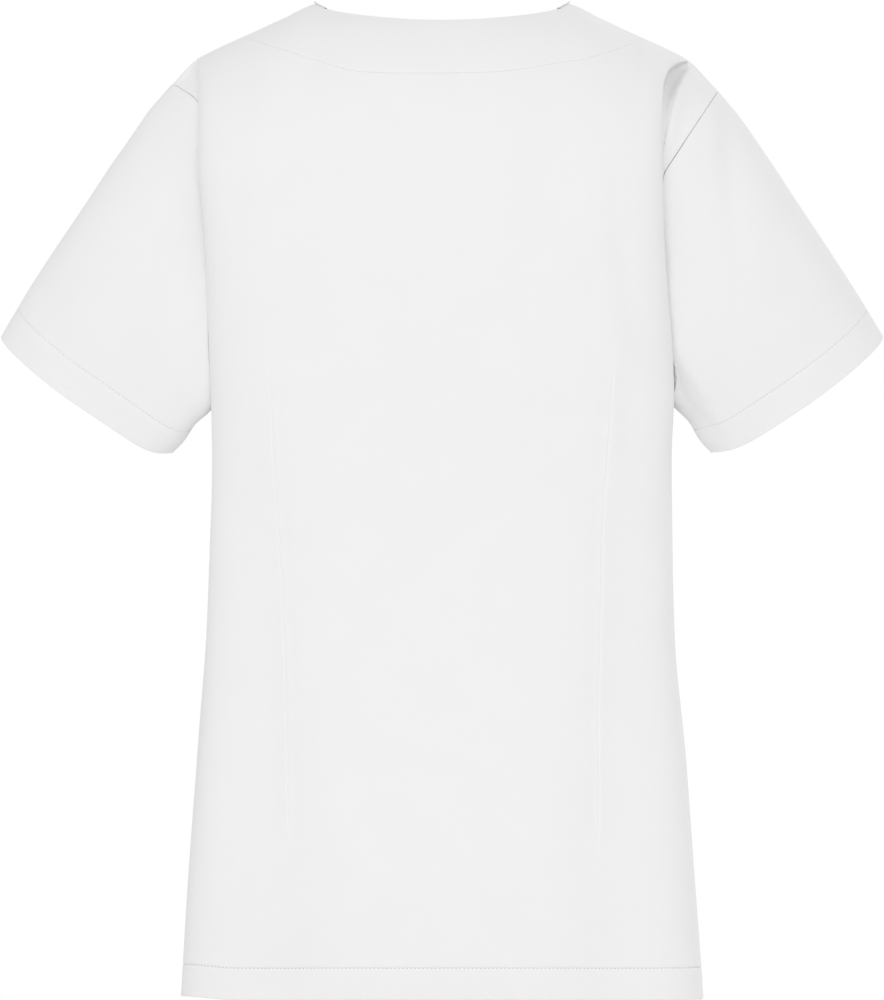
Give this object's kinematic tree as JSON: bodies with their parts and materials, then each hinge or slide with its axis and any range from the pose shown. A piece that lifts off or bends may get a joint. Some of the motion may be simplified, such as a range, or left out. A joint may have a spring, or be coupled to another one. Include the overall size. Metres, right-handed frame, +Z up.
{
  "type": "scrub top",
  "caption": "Hollow short-sleeved scrub top with a V neck, long fish-eye back darts and turned-up hems, shaped as it hangs on a wearer.",
  "frame": {"origin": "midway between the shoulders, level with the high point of the shoulder seams, where the wearer's shoulders hold the top up", "axes": "+Z up, the front faces -Y, the back faces +Y and the wearer's left is +X"},
  "size_m": [0.6542, 0.232, 0.7364],
  "materials": {
    "cloth": "white poly-cotton twill"
  },
  "bodies": {
    "root": {"back_panel": "cloth", "front_panel": "cloth", "sleeve_left": "cloth", "sleeve_right": "cloth", "back_neck_facing": "cloth", "front_neck_facing": "cloth"}
  },
  "joints": []
}
